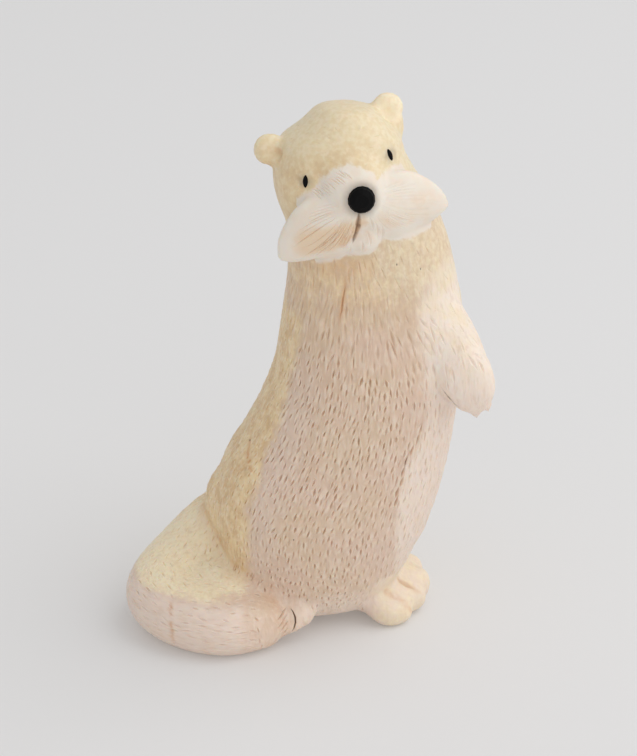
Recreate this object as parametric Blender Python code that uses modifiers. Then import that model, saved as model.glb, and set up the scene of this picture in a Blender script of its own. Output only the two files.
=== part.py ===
"""A sea otter standing upright, carved in one piece of walrus ivory, with an inlaid nose and eyes.

Metres, +Z up, the origin on the ground at the middle of the carving's box.
The face looks along -Y. The tail leaves the otter's rump at -X and curls round to the front.
"""

import math

import bmesh
import bpy
from mathutils import Matrix, Vector
from mathutils.bvhtree import BVHTree

# The carving. Its forms are drawn on a figure FIGURE_UNITS high, and UNIT makes a unit a real length.
FIGURE_HEIGHT = 0.0723
FIGURE_UNITS = 72.3
UNIT = FIGURE_HEIGHT / FIGURE_UNITS

# The inlays: black pegs set in drilled sockets. A shoulder lies below the ivory, and a dome rises from it.
NOSE_DIAMETER = 0.0034
NOSE_LENGTH = 0.0026
NOSE_SINK = 0.0003
NOSE_DOME = 0.0010
EYE_WIDTH = 0.0007
EYE_HEIGHT = 0.0016
EYE_LENGTH = 0.0014
EYE_SINK = 0.00005
EYE_DOME = 0.00022
INLAY_GAP = 0.00006

# The chiselled fur: pointed strokes in staggered rows round the body, in the figure's units.
FUR_LOW = 9.0
FUR_HIGH = 52.0
FUR_ROW = 3.3
FUR_PITCH = 4.0
STROKE_LENGTH = 1.9
STROKE_WIDTH = 0.46
STROKE_DEPTH = 0.32
STROKE_SPLAY = 0.45

# How finely the ivory is cut, in the figure's units: the grain of the blended body and of the crisp parts.
BLEND_GRAIN = 0.45
CRISP_GRAIN = 0.3
SKIN_FACETS = 5000

IVORY_COLOUR = (0.80, 0.68, 0.53, 1.0)
INLAY_COLOUR = (0.012, 0.010, 0.010, 1.0)


def head_frame():
    """The head's own axes: +X to the viewer's right, -Y out of the face, +Z to the crown."""
    turned = Matrix.Rotation(math.radians(11), 4, "Z")
    raised = Matrix.Rotation(math.radians(-4), 4, "X")
    leaning = Matrix.Rotation(math.radians(-16), 4, "Y")
    return Matrix.Translation((1.0, -0.5, 64.2)) @ turned @ raised @ leaning


HEAD = head_frame()
BODY = Matrix.Identity(4)


def clear_scene():
    for old in list(bpy.data.objects):
        bpy.data.objects.remove(old, do_unlink=True)


def new_collection(name):
    made = bpy.data.collections.new(name)
    bpy.context.scene.collection.children.link(made)
    return made


def finish_material(name, colour, roughness):
    made = bpy.data.materials.new(name)
    made.use_nodes = True
    shader = made.node_tree.nodes["Principled BSDF"]
    shader.inputs["Base Color"].default_value = colour
    shader.inputs["Roughness"].default_value = roughness
    shader.inputs["Metallic"].default_value = 0.0
    return made


def smooth_between(stations, steps):
    """Catmull-Rom: rows of numbers on a smooth curve through the stations, steps to each span."""
    rows = [Vector(s) for s in stations]
    rows = [rows[0] * 2 - rows[1], *rows, rows[-1] * 2 - rows[-2]]
    smooth = []
    for a, b, c, d in zip(rows, rows[1:], rows[2:], rows[3:]):
        for step in range(steps):
            t = step / steps
            smooth.append(
                0.5 * ((2 * b) + (c - a) * t + (2 * a - 5 * b + 4 * c - d) * t**2 + (3 * b - a - 3 * c + d) * t**3)
            )
    smooth.append(rows[-2])
    return smooth


def loft(stations, frame=BODY, facing=(0, -1, 0), square=2.0, turn=0.0, caps=(0.8, 0.8), sides=36, steps=6):
    """One closed rounded form through stations (x, y, z, half width, half depth), in the frame's units.

    facing is the way the half depth points, square the superellipse's power (2 is an ellipse, more is
    boxier, less is edged), turn the section's turn in degrees, and caps how far each end domes out, as
    a share of its lesser half size.
    """
    rows = smooth_between(stations, steps)
    centres = [Vector(r[:3]) for r in rows]
    ahead = [(b - a).normalized() for a, b in zip(centres, centres[1:])]
    ahead = [ahead[0], *[(a + b).normalized() for a, b in zip(ahead, ahead[1:])], ahead[-1]]
    rings = [(c, t, max(r[3], 0.05), max(r[4], 0.05)) for c, t, r in zip(centres, ahead, rows)]
    cap_rings = 4
    ends = []
    for (centre, along, wide, deep), sign, dome in ((rings[0], -1, caps[0]), (rings[-1], 1, caps[1])):
        out = [centre + along * sign * dome * min(wide, deep)]
        for k in range(1, cap_rings):
            angle = 0.5 * math.pi * k / cap_rings
            reach = sign * dome * min(wide, deep) * math.sin(angle)
            out.append((centre + along * reach, along, wide * math.cos(angle), deep * math.cos(angle)))
        ends.append(out)
    rings = [*reversed(ends[0][1:]), *rings, *ends[1][1:]]

    form = bmesh.new()
    loops = []
    for centre, along, wide, deep in rings:
        depth_axis = Vector(facing)
        depth_axis = (depth_axis - along * depth_axis.dot(along)).normalized()
        depth_axis.rotate(Matrix.Rotation(math.radians(turn), 3, along))
        width_axis = depth_axis.cross(along)
        loop = []
        for k in range(sides):
            angle = 2 * math.pi * k / sides
            c, s = math.cos(angle), math.sin(angle)
            across = math.copysign(abs(c) ** (2 / square), c) * wide
            out = math.copysign(abs(s) ** (2 / square), s) * deep
            loop.append(form.verts.new(centre + width_axis * across + depth_axis * out))
        loops.append(loop)
    for near, far in zip(loops, loops[1:]):
        for k in range(sides):
            form.faces.new((near[k], near[k - 1], far[k - 1], far[k]))
    for pole, loop, order in ((ends[0][0], loops[0], 1), (ends[1][0], loops[-1], -1)):
        tip = form.verts.new(pole)
        for k in range(sides):
            form.faces.new((loop[k - 1], loop[k], tip)[::order])
    bmesh.ops.recalc_face_normals(form, faces=form.faces)
    form.transform(frame)
    return form


def ball(centre, radii, frame=BODY, tilt=0.0):
    """An ellipsoid in the frame's units, tilted about the frame's Y axis by degrees."""
    form = bmesh.new()
    bmesh.ops.create_uvsphere(form, u_segments=32, v_segments=20, radius=1.0)
    tilted = Matrix.Rotation(math.radians(tilt), 4, "Y")
    form.transform(frame @ Matrix.Translation(centre) @ tilted @ Matrix.Diagonal((*radii, 1.0)))
    return form


def mirrored(stations):
    """The same stations on the other side of the frame's middle plane."""
    return [(-s[0], *s[1:]) for s in stations]


def object_from(forms, name, collection, scale):
    """The forms together in one mesh object, scaled to metres."""
    mesh = bpy.data.meshes.new(name)
    joined = bmesh.new()
    for form in forms:
        form.to_mesh(mesh)
        joined.from_mesh(mesh)
        form.free()
    joined.to_mesh(mesh)
    joined.free()
    mesh.transform(Matrix.Scale(scale, 4))
    made = bpy.data.objects.new(name, mesh)
    collection.objects.link(made)
    return made


def settle(made):
    """Puts what the object's modifiers make in place of its mesh."""
    bpy.context.view_layer.update()
    evaluated = made.evaluated_get(bpy.context.evaluated_depsgraph_get())
    mesh = bpy.data.meshes.new_from_object(evaluated)
    made.modifiers.clear()
    old = made.data
    made.data = mesh
    bpy.data.meshes.remove(old)
    return made


def fuse(made, grain, softening):
    """Melts an object's overlapping forms into one skin, and softens the skin that many times."""
    remesh = made.modifiers.new("one skin", "REMESH")
    remesh.mode = "VOXEL"
    remesh.voxel_size = grain
    soften = made.modifiers.new("soften", "SMOOTH")
    soften.factor = 0.5
    soften.iterations = softening
    return settle(made)


# The blended body

TORSO = [
    (-2.0, 0.5, 3.2, 10.2, 7.6),
    (-2.0, 0.2, 8.5, 12.3, 10.0),
    (-1.2, 0.0, 16.0, 14.3, 11.0),
    (1.2, 0.0, 22.0, 13.7, 11.0),
    (3.2, 0.0, 28.0, 12.9, 10.7),
    (4.7, 0.0, 35.0, 12.1, 10.3),
    (5.3, 0.0, 43.5, 11.5, 9.6),
    (5.0, 0.0, 50.0, 10.6, 9.0),
    (4.0, 0.0, 55.0, 9.8, 8.6),
    (2.5, 0.0, 60.0, 8.6, 8.0),
]
TORSO_TURN = 8
SKULL = [
    (0.0, 0.4, -9.0, 8.2, 7.6),
    (0.0, 0.3, -5.0, 8.6, 8.1),
    (0.0, 0.2, -1.0, 8.6, 8.4),
    (1.6, 0.3, 2.6, 7.2, 7.8),
    (2.6, 0.6, 5.5, 4.2, 5.8),
]
TAIL = [
    (-3.0, 6.0, 9.0, 9.0, 8.5),
    (-12.0, 4.5, 7.6, 8.6, 8.2),
    (-18.2, 1.0, 5.6, 6.8, 6.4),
    (-21.6, -4.4, 4.6, 5.8, 5.2),
    (-19.0, -9.0, 4.0, 4.9, 4.6),
    (-13.6, -11.3, 3.8, 4.4, 4.3),
    (-8.4, -10.2, 3.5, 3.4, 3.6),
]
NEAR_ARM = [
    (12.2, -2.5, 46.5, 3.3, 3.4),
    (14.6, -3.8, 42.0, 3.8, 3.6),
    (16.6, -5.0, 38.0, 3.7, 2.8),
    (17.8, -5.8, 35.2, 3.0, 2.0),
]
FAR_ARM = [
    (12.6, 3.5, 47.5, 3.4, 3.0),
    (13.8, 4.6, 43.0, 3.4, 3.0),
    (14.4, 5.4, 39.0, 3.0, 2.6),
    (14.8, 5.8, 35.8, 2.6, 2.0),
    (15.0, 5.8, 34.0, 1.8, 1.3),
]
GROUND = (0, 0, 1)


def blended_body(collection):
    forms = [
        loft(TORSO, square=2.3, turn=TORSO_TURN, caps=(0.3, 0.2), sides=48),
        loft(SKULL, HEAD, square=2.3, caps=(0.2, 0.32), sides=40),
        loft(TAIL, facing=GROUND, caps=(0.2, 0.7)),
        ball((-13.0, -3.6, 4.2), (9.6, 9.0, 5.6)),
        ball((3.0, 3.5, 3.2), (9.0, 6.5, 3.8)),
        ball((12.6, -4.2, 41.6), (4.8, 4.0, 5.6)),
        loft(NEAR_ARM),
        loft(FAR_ARM),
    ]
    return fuse(object_from(forms, "blended body", collection, UNIT), BLEND_GRAIN * UNIT, 12)


# The crisp parts: the face, the paws and the flippers

WHISKER_PAD = [
    (0.4, -7.8, -4.4, 2.6, 2.6),
    (3.0, -7.6, -4.8, 4.0, 2.3),
    (5.5, -7.2, -5.1, 4.3, 1.9),
    (7.5, -6.7, -5.8, 3.6, 1.4),
    (9.2, -6.2, -6.6, 2.7, 1.0),
    (10.4, -5.8, -7.2, 1.8, 0.7),
    (11.2, -5.5, -7.6, 0.8, 0.4),
]
PAD_DROOP = Matrix.Rotation(math.radians(4), 4, "Y")
BRIDGE = [
    (0.0, -5.0, 4.0, 2.8, 1.6),
    (0.0, -6.2, 2.0, 3.6, 2.0),
    (0.0, -7.6, -0.8, 3.9, 2.7),
    (0.0, -8.0, -3.4, 3.4, 2.8),
]
NEAR_PAW = [
    (14.2, -5.0, 41.8, 2.6, 1.9),
    (16.4, -6.6, 38.4, 3.7, 2.3),
    (17.7, -7.0, 36.0, 3.4, 2.0),
    (18.4, -6.9, 34.2, 2.6, 1.6),
    (18.8, -6.7, 33.2, 1.6, 1.2),
]
NEAR_CLAWS = [
    [(18.1, -6.8, 34.4, 1.1, 0.9), (18.5, -6.9, 32.6, 0.75, 0.7), (18.7, -6.9, 31.3, 0.25, 0.3)],
    [(19.6, -6.5, 34.6, 1.0, 0.8), (20.0, -6.5, 33.2, 0.7, 0.6), (20.2, -6.5, 32.1, 0.25, 0.3)],
]
FAR_CLAWS = [
    [(14.4, 5.8, 34.4, 0.9, 0.8), (14.6, 5.8, 32.4, 0.3, 0.3)],
    [(15.6, 5.6, 34.6, 0.9, 0.8), (15.9, 5.6, 32.8, 0.3, 0.3)],
]
FLIPPER_TOES = [
    [(4.6, -3.6, 3.6, 1.7, 1.7), (7.6, -4.8, 1.8, 2.0, 2.0), (9.8, -4.3, 1.6, 1.6, 1.6)],
    [(4.0, -2.2, 2.8, 2.2, 2.2), (8.8, -2.0, 2.2, 2.4, 2.5), (11.6, -1.0, 2.1, 1.8, 2.0)],
    [(4.0, 1.0, 3.4, 2.4, 2.7), (9.4, 1.4, 2.7, 2.7, 2.9), (12.0, 1.8, 2.3, 2.1, 2.5)],
    [(4.0, 4.2, 3.4, 2.4, 2.7), (9.0, 5.0, 2.7, 2.6, 2.9), (11.2, 5.4, 2.3, 2.0, 2.4)],
]
NEAR_TOES = [
    [(-5.8, -8.0, 3.9, 1.4, 1.3), (-7.6, -10.3, 2.7, 1.2, 1.2)],
    [(-5.4, -8.0, 3.9, 1.4, 1.3), (-6.3, -10.5, 2.5, 1.2, 1.2)],
    [(-5.0, -7.8, 3.9, 1.4, 1.3), (-4.9, -10.0, 2.7, 1.2, 1.2)],
    [(-4.4, -7.4, 3.9, 1.4, 1.3), (-3.5, -9.2, 3.3, 1.2, 1.2)],
]


def crisp_parts():
    forms = [
        loft(WHISKER_PAD, HEAD @ PAD_DROOP, square=1.7, caps=(0.3, 0.8)),
        loft(mirrored(WHISKER_PAD), HEAD, square=1.7, caps=(0.3, 0.8)),
        loft(BRIDGE, HEAD),
        ball((-0.9, -7.2, -7.6), (3.0, 2.3, 2.8), HEAD),
        ball((8.0, 0.8, 2.2), (1.3, 1.6, 2.6), HEAD),
        ball((7.8, 0.6, 2.6), (4.8, 6.0, 2.8)),
        ball((-5.2, -8.2, 4.0), (3.4, 2.2, 2.4)),
    ]
    for side in (-1, 1):
        forms.append(ball((side * 7.8, 0.8, 4.1), (2.1, 1.2, 2.1), HEAD))
    forms.append(loft(NEAR_PAW, square=2.3, caps=(0.3, 0.5)))
    for claw in [*NEAR_CLAWS, *FAR_CLAWS]:
        forms.append(loft(claw, sides=16, steps=4))
    for toe in [*FLIPPER_TOES, *NEAR_TOES]:
        forms.append(loft(toe, facing=GROUND, sides=20, steps=5))
    return forms


def skin_of(made):
    """The object's surface, for casting rays at, in metres."""
    skin = bmesh.new()
    skin.from_mesh(made.data)
    tree = BVHTree.FromBMesh(skin)
    skin.free()
    return tree


def touch(skin, start, towards):
    """Where a ray from outside meets the skin, and the skin's outward normal there, in metres."""
    point, normal, _, _ = skin.ray_cast(Vector(start) * UNIT, Vector(towards).normalized())
    return point, normal


def touch_face(skin, x, z):
    """The skin of the face at x and z in the head's frame."""
    start = HEAD @ Vector((x, -20.0, z))
    return touch(skin, start, HEAD.to_3x3() @ Vector((0, 1, 0)))


# The inlays

NOSE_AT = (0.0, -2.2)
EYES_AT = {"eye_left": (-5.45, 1.0), "eye_right": (5.5, 0.65)}
EYE_LEAN = {"eye_left": 15.0, "eye_right": -4.0}


def seat(skin, at, lean=0.0):
    """A frame in metres on the face: +Z out of the skin, +Y up the head, turned by lean degrees."""
    point, normal = touch_face(skin, *at)
    across = (HEAD.to_3x3() @ Vector((0, 0, 1))).cross(normal).normalized()
    axes = Matrix((across, normal.cross(across), normal)).transposed().to_4x4()
    return Matrix.Translation(point) @ axes @ Matrix.Rotation(math.radians(-lean), 4, "Z")


def peg(half_width, half_height, levels, square, frame, sides=16):
    """An upright peg through levels (height, share of its outline), closed at both ends."""
    form = bmesh.new()
    loops = []
    for height, share in levels:
        loop = []
        for k in range(sides):
            angle = 2 * math.pi * k / sides
            c, s = math.cos(angle), math.sin(angle)
            x = math.copysign(abs(c) ** (2 / square), c) * half_width * share
            y = math.copysign(abs(s) ** (2 / square), s) * half_height * share
            loop.append(form.verts.new((x, y, height)))
        loops.append(loop)
    for low, high in zip(loops, loops[1:]):
        for k in range(sides):
            form.faces.new((low[k - 1], low[k], high[k], high[k - 1]))
    form.faces.new(list(reversed(loops[0])))
    form.faces.new(loops[-1])
    form.transform(frame)
    return form


def inlay(half_width, half_height, length, sink, dome, square, frame):
    """The peg with its domed end."""
    levels = [(-sink - length, 1.0)]
    dome_rings = 3
    for k in range(dome_rings):
        angle = 0.5 * math.pi * k / dome_rings
        levels.append((-sink + dome * math.sin(angle), math.cos(angle)))
    return peg(half_width, half_height, levels, square, frame)


def socket(half_width, half_height, length, sink, square, frame):
    """What is drilled out for the peg: its outline grown by the gap, open to the air."""
    clear_of_skin = 4 * half_height
    levels = [(-sink - length - INLAY_GAP, 1.0), (clear_of_skin, 1.0)]
    return peg(half_width + INLAY_GAP, half_height + INLAY_GAP, levels, square, frame)


ROUND = 2.0
ALMOND = 1.7


def inlays(skin):
    """Each inlay's name, its peg and its socket."""
    nose = (NOSE_DIAMETER / 2, NOSE_DIAMETER / 2, NOSE_LENGTH, NOSE_SINK)
    eye = (EYE_WIDTH / 2, EYE_HEIGHT / 2, EYE_LENGTH, EYE_SINK)
    nose_seat = seat(skin, NOSE_AT)
    yield "nose", inlay(*nose, NOSE_DOME, ROUND, nose_seat), socket(*nose, ROUND, nose_seat)
    for name, at in EYES_AT.items():
        eye_seat = seat(skin, at, EYE_LEAN[name])
        yield name, inlay(*eye, EYE_DOME, ALMOND, eye_seat), socket(*eye, ALMOND, eye_seat)


# The chisel's cuts

MOUTH = [(-0.8, -3.8), (-1.2, -4.9), (-1.8, -6.2), (-2.6, -7.6)]
MOUTH_WIDTH = 0.65
MOUTH_DEPTH = 0.65
NEAR_SLIT = [(-5.4, 5.4), (-4.7, 3.8), (-5.3, 1.6)]
NEAR_TOE_CUTS = [[(-6.4, 4.3), (-7.0, 3.2)], [(-5.7, 3.6), (-6.2, 2.4)]]
TOE_CUT_WIDTH = 0.4
TOE_CUT_DEPTH = 0.4
LID = 0.08


def chisel_cut(touches, width, depth):
    """A V-shaped groove along touched points (point, normal), pointed at both ends, in metres."""
    form = bmesh.new()
    half_width, depth, lid = width * UNIT / 2, depth * UNIT, LID * UNIT
    ends = [form.verts.new(touches[k][0] + touches[k][1] * lid) for k in (0, -1)]
    sections = []
    for (before, _), (point, normal), (after, _) in zip(touches, touches[1:], touches[2:]):
        along = (after - before).normalized()
        side = normal.cross(along).normalized() * half_width
        lifted = point + normal * lid
        corners = (lifted + side, lifted - side, point - normal * depth)
        sections.append([form.verts.new(c) for c in corners])
    for near, far in zip(sections, sections[1:]):
        for k in range(3):
            form.faces.new((near[k], near[k - 1], far[k - 1], far[k]))
    for tip, section in ((ends[0], sections[0]), (ends[1], sections[-1])):
        for k in range(3):
            form.faces.new((tip, section[k], section[k - 1]))
    bmesh.ops.recalc_face_normals(form, faces=form.faces)
    return form


def stroke(skin, point, normal, along):
    """One stroke of the fur, its widest and deepest place beyond its middle."""
    along = (along - normal * along.dot(normal)).normalized()
    touches = []
    for share in (-0.5, 0.12, 0.5):
        near, facing, _, _ = skin.find_nearest(point + along * share * STROKE_LENGTH * UNIT)
        touches.append((near, facing))
    return chisel_cut(touches, STROKE_WIDTH, STROKE_DEPTH)


def fur(skin):
    """Strokes in staggered rows round the body, running down it and splaying from the chest's middle."""
    middles = smooth_between(TORSO, 6)
    height = FUR_LOW
    row = 0
    while height < FUR_HIGH:
        middle = min(middles, key=lambda m: abs(m[2] - height))
        count = round(math.pi * (middle[3] + middle[4]) / FUR_PITCH)
        for k in range(count):
            angle = 2 * math.pi * (k + 0.5 * (row % 2)) / count
            outward = Vector((math.sin(angle), -math.cos(angle), 0))
            start = Vector((middle[0], middle[1], height)) + outward * 40
            point, normal = touch(skin, start, -outward)
            reach = (point / UNIT - Vector((middle[0], middle[1], height))).length
            on_body = reach < 1.25 * middle[3] and normal.z < 0.5
            if on_body:
                splay = math.sin(angle) * STROKE_SPLAY * (height - FUR_LOW) / (FUR_HIGH - FUR_LOW)
                sideways = Vector((math.cos(angle), math.sin(angle), 0)) * splay
                yield stroke(skin, point, normal, sideways - Vector((0, 0, 1)))
        height += FUR_ROW
        row += 1


def near_foot_cuts(skin):
    for path in [NEAR_SLIT, *NEAR_TOE_CUTS]:
        touches = [touch(skin, (x, -40, z), (0, 1, 0)) for x, z in smooth_between(path, 2)]
        yield chisel_cut(touches, TOE_CUT_WIDTH, TOE_CUT_DEPTH)


def chisel_cuts(skin):
    mouth = [touch_face(skin, x, z) for x, z in MOUTH]
    return [chisel_cut(mouth, MOUTH_WIDTH, MOUTH_DEPTH), *near_foot_cuts(skin), *fur(skin)]


# The broad cuts

EAR_HOLLOWS = [(-7.6, -1.1, 4.0), (7.6, -1.1, 4.0)]
EAR_HOLLOW_RADII = (1.3, 0.9, 1.3)


def ground():
    """A block below the ground, which cuts the underside flat."""
    form = bmesh.new()
    bmesh.ops.create_cube(form, size=2.0)
    half = 100.0
    form.transform(Matrix.Translation((0, 0, -half)) @ Matrix.Scale(half, 4))
    return form


def broad_cuts():
    return [ground(), *(ball(at, EAR_HOLLOW_RADII, HEAD) for at in EAR_HOLLOWS)]


def cut(made, forms, name, scale, collection):
    """Takes the forms away from the object."""
    cutter = object_from(forms, name, collection, scale)
    cutter.hide_render = True
    cutter.display_type = "WIRE"
    taken = made.modifiers.new(name, "BOOLEAN")
    taken.operation = "DIFFERENCE"
    taken.solver = "EXACT"
    taken.object = cutter
    settle(made)


def finish_skin(made):
    """Three-cornered faces, with the shortest edges that the cuts left closed up."""
    skin = bmesh.new()
    skin.from_mesh(made.data)
    shortest = 0.02 * UNIT
    bmesh.ops.triangulate(skin, faces=skin.faces)
    bmesh.ops.dissolve_degenerate(skin, dist=shortest, edges=skin.edges)
    bmesh.ops.triangulate(skin, faces=skin.faces)
    skin.to_mesh(made.data)
    skin.free()


def carve_otter(carving, cutters):
    body = blended_body(carving)
    details = object_from(crisp_parts(), "details", carving, UNIT)
    joined = bmesh.new()
    joined.from_mesh(body.data)
    joined.from_mesh(details.data)
    joined.to_mesh(body.data)
    joined.free()
    bpy.data.objects.remove(details)
    otter = fuse(body, CRISP_GRAIN * UNIT, 3)
    otter.name = "otter"
    thin = otter.modifiers.new("facets", "DECIMATE")
    thin.ratio = SKIN_FACETS / (2 * len(otter.data.polygons))
    settle(otter)
    skin = skin_of(otter)
    cut(otter, broad_cuts(), "broad cuts", UNIT, cutters)
    cut(otter, chisel_cuts(skin), "chisel cuts", 1.0, cutters)
    sockets = []
    for name, form, drilled in inlays(skin):
        made = object_from([form], name, carving, 1.0)
        finish_skin(made)
        sockets.append(drilled)
    cut(otter, sockets, "sockets", 1.0, cutters)
    finish_skin(otter)
    return otter


def stand_on_origin(otter, collections):
    """Moves everything so that the carving's box stands with the middle of its foot on the origin."""
    corners = [v.co for v in otter.data.vertices]
    low = [min(c[k] for c in corners) for k in range(3)]
    high = [max(c[k] for c in corners) for k in range(3)]
    middle = Vector(((low[0] + high[0]) / 2, (low[1] + high[1]) / 2, low[2]))
    for collection in collections:
        for made in collection.objects:
            made.data.transform(Matrix.Translation(-middle))
    print("moved by", tuple(round(v / UNIT, 3) for v in -middle))


def main():
    clear_scene()
    carving = new_collection("sea otter carving")
    cutters = new_collection("cutters")
    ivory = finish_material("ivory", IVORY_COLOUR, 0.38)
    black = finish_material("black inlay", INLAY_COLOUR, 0.3)
    otter = carve_otter(carving, cutters)
    stand_on_origin(otter, (carving, cutters))
    for made in carving.objects:
        made.data.materials.clear()
        made.data.materials.append(ivory if made is otter else black)


main()
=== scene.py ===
"""The ivory sea otter: its fine carving, its ivory and the photograph's view of it.

The frame's solid gives the form. Here its skin is smoothed, the graver's strokes are cut into it as mesh,
and procedural materials give the ivory its golden and white sides, its grain and its inked lines, with
painted shade in its cuts, creases and hollows and painted highlights on the fur's ridges and the cuts' rims.
Lengths are in millimetres of a figure FIGURE_UNITS high until a mesh is written, which is in metres.
"""

import math
from collections import defaultdict

import bmesh
import bpy
import numpy as np
from mathutils import Matrix, Vector
from mathutils.bvhtree import BVHTree
from mathutils.geometry import delaunay_2d_cdt


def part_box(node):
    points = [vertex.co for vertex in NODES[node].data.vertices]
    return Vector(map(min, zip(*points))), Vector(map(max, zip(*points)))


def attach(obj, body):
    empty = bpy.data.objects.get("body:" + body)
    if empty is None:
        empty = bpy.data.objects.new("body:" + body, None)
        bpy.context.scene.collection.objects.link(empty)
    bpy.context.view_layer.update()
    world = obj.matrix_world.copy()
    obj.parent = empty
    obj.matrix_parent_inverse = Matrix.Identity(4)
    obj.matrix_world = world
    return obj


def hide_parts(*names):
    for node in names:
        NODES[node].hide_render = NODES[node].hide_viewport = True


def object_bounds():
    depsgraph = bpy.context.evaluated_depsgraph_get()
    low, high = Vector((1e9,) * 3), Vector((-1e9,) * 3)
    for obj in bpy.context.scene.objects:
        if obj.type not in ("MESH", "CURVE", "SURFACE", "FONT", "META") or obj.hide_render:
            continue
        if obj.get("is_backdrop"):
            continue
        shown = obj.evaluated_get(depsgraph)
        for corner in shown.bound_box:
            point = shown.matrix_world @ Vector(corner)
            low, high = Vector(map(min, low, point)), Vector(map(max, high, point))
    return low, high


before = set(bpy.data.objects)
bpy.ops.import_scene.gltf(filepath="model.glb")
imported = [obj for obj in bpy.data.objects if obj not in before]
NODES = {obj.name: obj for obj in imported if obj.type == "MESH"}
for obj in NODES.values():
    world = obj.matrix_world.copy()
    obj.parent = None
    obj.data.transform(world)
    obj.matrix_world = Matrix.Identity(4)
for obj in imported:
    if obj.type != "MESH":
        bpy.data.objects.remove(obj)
CAD_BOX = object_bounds()
INLAYS = ("nose", "eye_left", "eye_right")

# The figure's scale, and the head's own frame: +X to the viewer's right, -Y out of the face.
FIGURE_UNITS = 72.3
OTTER_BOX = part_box("otter")
UNIT = (OTTER_BOX[1][2] - OTTER_BOX[0][2]) / FIGURE_UNITS
HEAD = (
    Matrix.Translation((4.17, -0.08, 64.2))
    @ Matrix.Rotation(math.radians(11), 4, "Z")
    @ Matrix.Rotation(math.radians(-4), 4, "X")
    @ Matrix.Rotation(math.radians(-16), 4, "Y")
)
TO_HEAD = np.array(HEAD.inverted())
HEAD_RIGHT, HEAD_BACK, HEAD_UP = np.array(HEAD.to_3x3()).T
GROUND_UP = np.array([0.0, 0.0, 1.0])

# The camera that the photograph's perspective gives.
PHOTO_SIZE = (637, 756)
CAMERA_ELEVATION = 25.0
CAMERA_DISTANCE = 320.0
CAMERA_TARGET = Vector((1.605, 0.42, 34.02))
FOCAL_PIXELS = 2461.5
SENSOR = 36.0

# The light: (direction, distance, size, power) of a broad lamp from the upper right and of a low one in
# front, and an even room.
KEY_LAMP = (Vector((0.64, 0.0, 0.75)), 0.9, 1.1, 3.7)
FRONT_LAMP = (Vector((0.3, -0.92, 0.22)), 0.9, 0.9, 1.5)
ROOM_LIGHT = 0.61
FLOOR_SIZE = 8.0
FLOOR_GLOW = 0.13

# The skin that the strokes are cut into.
REMESH_GRAIN = 0.3
BROAD_SMOOTHING = 26
FINE_SMOOTHING = 3
HOLLOW_SMOOTHING = 100
SKIN_TRIANGLES = 33000
SOCKET_REACH = 0.3
SHARP_ANGLE = math.radians(34)

# The fur: the places tried, the least distance to a drawn stroke, how far its way must lie along the skin,
# its turn's spread in radians, and the ranges that its sizes are multiplied by.
RANDOM_SEED = 11
SEED_TRIES = 60000
DRAWN_CLEARANCE = 0.5
LEAST_LIE = 0.35
FUR_TURN = 0.09
FUR_LENGTHS = (0.75, 1.2)
FUR_WIDTHS = (0.8, 1.15)
FUR_DEPTHS = (0.6, 1.3)
FUR_RIM = 0.38
# The cells that a stroke's neighbours are looked for in, wider than the longest pitch.
FUR_CELL = 2.3

# The depth of a cut that has the full painted shade of a recess, and the least depth that takes ink, or
# painted shadow on the paw's edge.
FULL_RECESS = 0.3
INK_AND_SHADE_DEPTH = 0.04


def ramp(low, high, value):
    """0 at low, 1 at high and a smooth change between, also where high is the lower number."""
    t = np.clip((value - low) / (high - low), 0.0, 1.0)
    return t * t * (3 - 2 * t)


def unit(vectors):
    lengths = np.linalg.norm(vectors, axis=-1, keepdims=True)
    return vectors / np.maximum(lengths, 1e-12)


def in_head(points):
    """Points in the head's frame."""
    return points @ TO_HEAD[:3, :3].T + TO_HEAD[:3, 3]


def beside_path(points, path):
    """For each stretch of a path, each point's place along it (0..1) and its distance from it."""
    for start, end in zip(path, path[1:]):
        span = end - start
        t = np.clip(((points - start) @ span) / (span @ span), 0, 1)
        yield t, np.linalg.norm(points - start - t[:, None] * span, axis=1)


def from_path(points, path):
    """How far each point is from a line through the path's points."""
    best = np.full(len(points), np.inf)
    for _, apart in beside_path(points, np.asarray(path)):
        best = np.minimum(best, apart)
    return best


def inside_outline(flat, outline):
    """How far each flat point is inside an outline (- outside)."""
    outline = np.array(outline, float)
    inside = np.zeros(len(flat), bool)
    for (ax, ay), (bx, by) in zip(outline, np.roll(outline, -1, axis=0)):
        crosses = (ay > flat[:, 1]) != (by > flat[:, 1])
        rise = by - ay if by != ay else 1e-9
        inside ^= crosses & (flat[:, 0] < ax + (flat[:, 1] - ay) / rise * (bx - ax))
    apart = from_path(flat, [*outline, outline[0]])
    return np.where(inside, apart, -apart)


# The forms of the figure that the strokes and colours follow. Places are in the row's frame.

# The torso's middle line: height, x.
TORSO_MIDDLE = np.array(
    [(3, 1.2), (16, 2.0), (22, 4.4), (28, 6.4), (35, 7.9), (43.5, 8.5), (50, 8.2), (60, 5.7)]
)
# The edge of the golden flank on the belly's left: height, x.
FLANK_EDGE = np.array(
    [(6, -11.3), (11.5, -9.2), (18, -7.6), (24, -6.0), (29, -4.0), (35, -2.2), (44, -0.7), (52, 0.5)]
)
# The line of deep strokes down the belly's right.
BELLY_RIDGE = np.array(
    [(14.7, -8.0, 29.9), (13.4, -8.5, 27.3), (12.4, -8.9, 25.5), (11.9, -8.9, 23.1), (11.3, -8.9, 20.2)]
)
TAIL_LINE = np.array([
    (0.2, 6.4, 9.0), (-8.8, 4.9, 7.6), (-15.0, 1.4, 5.6), (-18.4, -4.0, 4.6),
    (-15.8, -8.6, 4.0), (-10.4, -10.9, 3.8), (-5.2, -9.8, 3.5),
])
# The line where the belly's fur ends over the tail.
TAIL_CREASE = np.array(
    [(-13.6, 2.1, 13.7), (-11.5, -2.7, 11.0), (-9.5, -7.1, 9.3), (-7.4, -8.3, 8.7), (-5.1, -8.9, 8.0)]
)
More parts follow.
